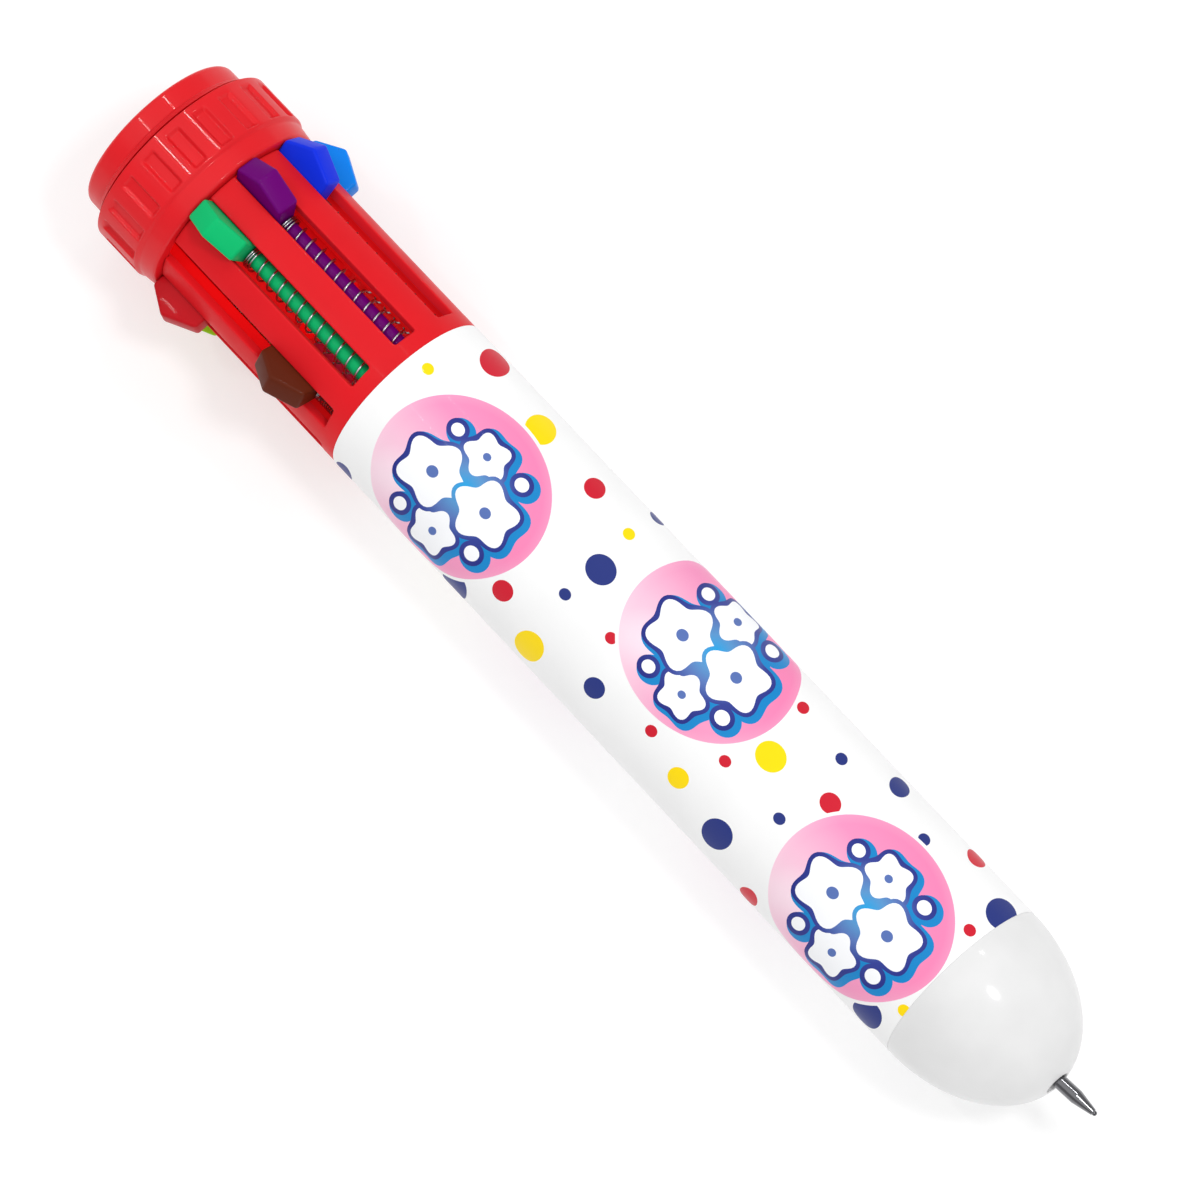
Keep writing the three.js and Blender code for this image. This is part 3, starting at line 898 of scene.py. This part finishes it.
def flat_print():
    """Points, triangles and inks of the unrolled print."""
    shapes = print_shapes()
    low, high = SEAM_MM, SEAM_MM + TURN_MM
    near = [s for s in shapes if low - FARTHEST_REACH < s.origin[1] < high + FARTHEST_REACH]
    points, edges = [], []

    def add_loop(loop):
        start = len(points)
        points.extend(map(tuple, loop))
        edges.extend((start + i, start + (i + 1) % len(loop)) for i in range(len(loop)))

    for shape in near:
        outline = shape.outline()
        inside = ((outline[:, 1] > low - 0.5) & (outline[:, 1] < high + 0.5)
                  & (outline[:, 0] > SLEEVE_START - 0.5) & (outline[:, 0] < SLEEVE_END + 0.5))
        if inside.any():
            add_loop(outline)
    outline_points = np.array(points)
    across = width_at(SEAM_DEG + np.arange(0, 360 + GRID_DEG, GRID_DEG))
    along = np.linspace(SLEEVE_START, SLEEVE_END, int((SLEEVE_END - SLEEVE_START) / GRID_LONG) + 1)
    frame_loop = ([(x, low) for x in along] + [(SLEEVE_END, y) for y in across[1:-1]]
                  + [(x, high) for x in along[::-1]] + [(SLEEVE_START, y) for y in across[-2:0:-1]])
    add_loop(frame_loop)
    grid = np.array([(x, y) for x in along[1:-1] for y in across[1:-1]])
    clear = np.ones(len(grid), bool)
    for chunk in np.array_split(outline_points, len(outline_points) // 400):
        gap = np.abs(grid[:, None] - chunk[None]).max(axis=2).min(axis=1)
        clear &= gap > GRID_GAP
    points.extend(map(tuple, grid[clear]))
    made = delaunay_2d_cdt([Vector(p) for p in points], edges, [], 0, 1e-5, False)
    flat = np.array([v[:] for v in made[0]])
    triangles = np.array([f for f in made[2] if len(f) == 3])
    middles = flat[triangles].mean(axis=1)
    kept = ((middles[:, 0] > SLEEVE_START) & (middles[:, 0] < SLEEVE_END)
            & (middles[:, 1] > low) & (middles[:, 1] < high))
    triangles, middles = triangles[kept], middles[kept]
    ink = np.array(["paper"] * len(triangles), dtype=object)
    for shape in near:
        ink[shape.holds(middles)] = shape.ink
    return flat, triangles, ink


def disc_place(flat):
    """Each point's place on the nearest disc: 1 is the disc's edge."""
    best = np.full((len(flat), 2), 9.0)
    for station, degrees in DISCS:
        for lap in (-1, 0, 1):
            origin = np.array((station, width_at(degrees) + lap * TURN_MM))
            local = on_artwork(flat, origin) / DISC_R
            closer = np.hypot(*local.T) < np.hypot(*best.T)
            best[closer] = local[closer]
    return best


def ramp(tree, value, stops):
    """A colour ramp from (place, hex colour) stops in order of place."""
    node = tree.nodes.new("ShaderNodeValToRGB")
    elements = node.color_ramp.elements
    elements[0].position = stops[0][0]
    elements[1].position = stops[-1][0]
    for place, _ in stops[1:-1]:
        elements.new(place)
    for element, (_, hex_colour) in zip(elements, stops):
        element.color = linear(hex_colour)
    tree.links.new(value, node.inputs["Fac"])
    return node.outputs["Color"]


def arithmetic(tree, operation, *values):
    node = tree.nodes.new("ShaderNodeMath")
    node.operation = operation
    for socket, value in zip(node.inputs, values):
        if isinstance(value, (int, float)):
            socket.default_value = value
        else:
            tree.links.new(value, socket)
    return node.outputs[0]


def disc_distance(tree, x_middle, y_middle, scale=1.0):
    """The distance on the disc from a place on it."""
    attribute = tree.nodes.new("ShaderNodeAttribute")
    attribute.attribute_name = "disc"
    node = tree.nodes.new("ShaderNodeVectorMath")
    node.operation = "DISTANCE"
    node.inputs[1].default_value = (x_middle, y_middle, 0)
    tree.links.new(attribute.outputs["Vector"], node.inputs[0])
    return arithmetic(tree, "MULTIPLY", node.outputs["Value"], scale)


def mixed(tree, factor, base, over):
    """A colour with a hex colour over it."""
    node = tree.nodes.new("ShaderNodeMix")
    node.data_type = "RGBA"
    tree.links.new(factor, node.inputs["Factor"])
    tree.links.new(base, node.inputs["A"])
    node.inputs["B"].default_value = linear(over)
    return node.outputs["Result"]


FILM_ROUGHNESS, FILM_RIPPLE, FILM_COAT, FILM_COAT_ROUGHNESS, FILM_LEVEL = 0.35, 0.04, 0.06, 0.05, 0.05


def film(name, hex_colour):
    """Film in one ink."""
    return plastic(name, hex_colour, FILM_ROUGHNESS, FILM_COAT, FILM_LEVEL, share=0.015,
                   ripple=FILM_RIPPLE, coat_roughness=FILM_COAT_ROUGHNESS)


def film_gloss(tree, shader):
    """The same gloss on film whose ink has its own nodes."""
    surface(tree, shader, FILM_ROUGHNESS, FILM_RIPPLE)
    shader.inputs["Specular IOR Level"].default_value = FILM_LEVEL
    shader.inputs["Coat Weight"].default_value = FILM_COAT
    shader.inputs["Coat Roughness"].default_value = FILM_COAT_ROUGHNESS


def disc_film():
    """A pink bubble: pale on its upper left, deeper on its right, with a soft glint and a pale rim."""
    material, tree, shader = new_material("print_disc")
    from_left = disc_distance(tree, -0.75, -0.62, 0.55)
    base = ramp(tree, from_left, [
        (0.05, "f6d3e2"), (0.3, "f5bfd7"), (0.62, "f394bf"), (0.98, "f487b6")])
    glint = ramp(tree, disc_distance(tree, -0.5, -0.46, 2.6), [(0.1, "b0b0b0"), (1.0, "000000")])
    with_glint = mixed(tree, glint, base, "fff4fa")
    lower = ramp(tree, disc_distance(tree, 0.72, -0.66, 1.6), [(0.1, "707070"), (1.0, "000000")])
    with_lower = mixed(tree, lower, with_glint, "f8cfe2")
    rim = ramp(tree, disc_distance(tree, 0, 0), [(0.9, "000000"), (1.0, "606060")])
    tree.links.new(mixed(tree, rim, with_lower, "fbe0ec"), shader.inputs["Base Color"])
    film_gloss(tree, shader)
    return material


def outline_film():
    """The motif's outline: bright azure in the middle of the disc, navy towards its edge."""
    material, tree, shader = new_material("print_outline")
    colour = ramp(tree, disc_distance(tree, 0.05, 0.02), [
        (0.0, "12a4e4"), (0.2, "5c96cc"), (0.36, "5c78b8"), (0.55, "3a4696"), (0.8, "2c3484")])
    tree.links.new(colour, shader.inputs["Base Color"])
    film_gloss(tree, shader)
    return material


def wrapped(points, radius):
    """Points of the flat print around the pen at a radius."""
    angle = np.radians(degrees_at(points[:, 1]))
    return np.stack([points[:, 0], radius * np.sin(angle), radius * np.cos(angle)], axis=1)


def first_at_place(flat):
    """For each point the first at its place, so that the two sides of the seam become one."""
    places = {}
    first = np.zeros(len(flat), int)
    for i, (x, y) in enumerate(flat):
        around = round(((y - SEAM_MM) % TURN_MM) * SNAPS_PER_MM) % round(TURN_MM * SNAPS_PER_MM)
        first[i] = places.setdefault((round(x * SNAPS_PER_MM), around), i)
    return first


def strip(first, first_at, last, last_at):
    """Triangles between two rings of vertices, from their places around the pen."""
    faces = []
    i = j = 0
    while i < len(first) or j < len(last):
        next_first = first_at[i + 1] if i + 1 < len(first) else TURN_MM + first_at[0]
        next_last = last_at[j + 1] if j + 1 < len(last) else TURN_MM + last_at[0]
        a, b = first[i % len(first)], last[j % len(last)]
        if j >= len(last) or (i < len(first) and next_first <= next_last):
            faces.append([a, first[(i + 1) % len(first)], b])
            i += 1
        else:
            faces.append([a, last[(j + 1) % len(last)], b])
            j += 1
    return faces


def make_sleeve():
    """The printed film: outer face with the print, inner face and both ends."""
    flat, triangles, ink = flat_print()
    inks = {"paper": film("print_white", "f6f6f6"), "red": film("print_red", "cf2436"),
            "yellow": film("print_yellow", "ffdd14"), "navy": film("print_navy", "2f3b80"),
            "disc": disc_film(), "azure": film("print_azure", "1f86c8"),
            "outline": outline_film(), "white": film("print_motif", "fafbfe"),
            "middle": film("print_middle", "5b74b4")}
    order = list(inks)
    used = np.unique(triangles)
    number = np.full(len(flat), -1)
    number[used] = np.arange(len(used))
    flat, triangles = flat[used], number[triangles]

    merged = first_at_place(flat)
    triangles = merged[triangles]
    vertices = list(map(tuple, wrapped(flat, SLEEVE_R)))
    faces = [list(t) for t in triangles]
    materials = [order.index(i) for i in ink]
    normals = [[(0, *(np.array(vertices[i][1:]) / SLEEVE_R)) for i in face] for face in faces]

    inner_rings = []
    for station, way in ((SLEEVE_START, -1), (SLEEVE_END, 1)):
        ring = sorted({merged[i] for i in np.flatnonzero(np.abs(flat[:, 0] - station) < 1e-4)},
                      key=lambda i: (flat[i][1] - SEAM_MM) % TURN_MM)
        start = len(vertices)
        vertices += list(map(tuple, wrapped(flat[ring], SLEEVE_BORE_R)))
        inner = list(range(start, len(vertices)))
        inner_rings += [inner, (flat[ring][:, 1] - SEAM_MM) % TURN_MM]
        for i in range(len(ring)):
            j = (i + 1) % len(ring)
            faces.append([ring[i], ring[j], inner[j], inner[i]])
            materials.append(0)
            normals.append([(way, 0, 0)] * 4)
    for face in strip(*inner_rings):
        faces.append(face)
        materials.append(0)
        normals.append([(0, *(-np.array(vertices[k][1:]) / SLEEVE_BORE_R)) for k in face])

    # Every face is turned so that it agrees with its own normals.
    corners = np.array(vertices)
    for face, ways in zip(faces, normals):
        a, b, c = corners[face[:3]]
        if np.dot(np.cross(b - a, c - a), ways[0]) < 0:
            face.reverse()
            ways.reverse()
    kept = sorted({i for face in faces for i in face})
    renumber = {old: new for new, old in enumerate(kept)}
    mesh = bpy.data.meshes.new("sleeve_print")
    mesh.from_pydata(world(corners[kept]).tolist(), [], [[renumber[i] for i in f] for f in faces])
    for name in order:
        mesh.materials.append(inks[name])
    mesh.polygons.foreach_set("material_index", materials)
    place = np.zeros((len(kept), 3))
    local = disc_place(flat)
    for new, old in enumerate(kept):
        if old < len(flat):
            place[new, :2] = local[old]
    attribute = mesh.attributes.new("disc", "FLOAT_VECTOR", "POINT")
    attribute.data.foreach_set("vector", place.ravel())
    mesh.shade_smooth()
    mesh.normals_split_custom_set([way for ways in normals for way in ways])
    return add_object("sleeve_print", mesh)


# ---- assembly

for build, body, node, slot in (
    (make_cap, "root", "cap", "red_plastic"),
    (make_housing, "root", "upper_housing", "red_plastic"),
    (make_core, "root", "latch_core", "red_plastic"),
    (make_seat, "root", "spring_seat", "white_plastic"),
    (make_barrel, "root", "barrel", "white_plastic"),
    (make_sleeve, "root", "printed_sleeve", "printed_film"),
    (make_nose, "root", "nose_cone", "nose_plastic"),
):
    made = build()
    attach(made, body)
    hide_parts(node)

for index, colour in enumerate(COLOURS):
    degrees = FIRST_SLOT_DEG + index * SLOT_PITCH_DEG
    shift = TRAVEL if colour == PUSHED else 0
    lean = PUSHED_LEAN if colour == PUSHED else REST_LEAN
    slider = make_slider(colour, degrees, shift)
    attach(slider, f"slider_{colour}")
    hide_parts(f"slider_{colour}")
    spring = make_spring(colour, degrees)
    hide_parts(f"spring_{colour}")
    if colour == PUSHED:
        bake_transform(spring)
    else:
        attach(spring, "root")
        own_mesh(spring)
    tube, point = make_refill(colour, degrees, shift, lean)
    for piece, node, slot in ((tube, "refill_tube", f"{colour}_plastic"), (point, "refill_tip", "nickel")):
        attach(piece, f"refill_{colour}")
        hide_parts(f"{node}_{colour}")


# ---- floor, light and camera

TILT, ROLL, SLANT = radians(14.5), radians(-5.5), radians(46.6)
AIM_STATION = 68.5
CAMERA_DISTANCE = 1.0
VIEW_WIDTH = 0.1218
SENSOR_WIDTH = 36
FLOOR_HALF_SIDE = 3
LIGHT_DISTANCE = 1.0
FLOOR_GLOW = 0.49
WALL_LIGHT = 1.05


def facing(right, up, back, place):
    """The matrix of a camera or light at a place."""
    matrix = Matrix((right, up, back)).transposed().to_4x4()
    matrix.translation = place
    return matrix


def make_camera():
    """Above the pen, leaning towards its nose, with the pen slanting down to the right."""
    target = Vector(world([(AIM_STATION, 0, 0)])[0])
    above = Vector((0, sin(ROLL), cos(ROLL)))
    along = Vector((1, 0, 0))
    back = (along * sin(TILT) + above * cos(TILT)).normalized()
    level = (along - back * along.dot(back)).normalized()
    side = back.cross(level)
    right = level * cos(SLANT) + side * sin(SLANT)
    up = -level * sin(SLANT) + side * cos(SLANT)
    data = bpy.data.cameras.new("camera")
    camera = add_object("camera", data)
    camera.matrix_world = facing(right, up, back, target + back * CAMERA_DISTANCE)
    data.sensor_width = SENSOR_WIDTH
    data.lens = SENSOR_WIDTH * CAMERA_DISTANCE / VIEW_WIDTH
    data.clip_end = 10
    bpy.context.scene.camera = camera


def area_light(name, around_deg, along_deg, size, power, length=None):
    """A soft light aimed at the pen's middle. around_deg turns from +Z towards +Y, and along_deg
    leans it towards the nose. length makes it a strip along the pen."""
    data = bpy.data.lights.new(name, "AREA")
    data.energy = power
    data.shape = "RECTANGLE"
    data.size = length or size
    data.size_y = size
    light = add_object(name, data)
    around, lean = radians(around_deg), radians(along_deg)
    way = Vector((sin(lean), cos(lean) * sin(around), cos(lean) * cos(around)))
    target = Vector((0, 0, AXIS_Z))
    along = Vector((1, 0, 0))
    level = (along - way * along.dot(way)).normalized()
    light.matrix_world = facing(level, way.cross(level), way, target + way * LIGHT_DISTANCE)
    return light


def make_floor():
    """A pale floor with some light of its own."""
    work = bmesh.new()
    bmesh.ops.create_grid(work, x_segments=1, y_segments=1, size=FLOOR_HALF_SIDE)
    mesh = bpy.data.meshes.new("floor")
    work.to_mesh(mesh)
    work.free()
    floor = add_object("floor", mesh)
    material, tree, shader = new_material("floor_white")
    mottle(tree, shader, linear("c2c2c2"), 0.005)
    shader.inputs["Roughness"].default_value = 0.9
    shader.inputs["Specular IOR Level"].default_value = 0.1
    shader.inputs["Emission Color"].default_value = (1, 1, 1, 1)
    shader.inputs["Emission Strength"].default_value = FLOOR_GLOW
    mesh.materials.append(material)


def make_studio():
    """Pale walls around the pen's length, a round key light and strips for the streaks and glints."""
    studio = bpy.data.worlds.new("studio")
    bpy.context.scene.world = studio
    studio.use_nodes = True
    tree = studio.node_tree
    split = tree.nodes.new("ShaderNodeSeparateXYZ")
    tree.links.new(tree.nodes.new("ShaderNodeTexCoord").outputs["Generated"], split.inputs["Vector"])
    around = arithmetic(tree, "ARCTAN2", split.outputs["Y"], split.outputs["Z"])
    place = arithmetic(tree, "DIVIDE", arithmetic(tree, "ADD", around, pi), 2 * pi)
    walls = ramp(tree, place, [
        (0.0, "c8c8c8"), (0.28, "c8c8c8"), (0.31, "a4a4a4"), (0.36, "a4a4a4"), (0.40, "ffffff"),
        (0.50, "ffffff"), (0.63, "b8b8b8"), (1.0, "b4b4b4")])
    background = tree.nodes["Background"]
    tree.links.new(walls, background.inputs["Color"])
    background.inputs["Strength"].default_value = WALL_LIGHT
    key = area_light("key", 14, 20, 0.17, 2.4)
    key.data.shape = "DISK"
    area_light("streak_right", 29, -22.4, 0.014, 0.6, 0.2)
    area_light("streak_left", -10.5, -22.4, 0.014, 0.6, 0.2)
    area_light("tip_glint", 35.5, -3, 0.08, 0.5)


make_camera()
make_floor()
make_studio()
bpy.context.scene.view_settings.view_transform = "Standard"
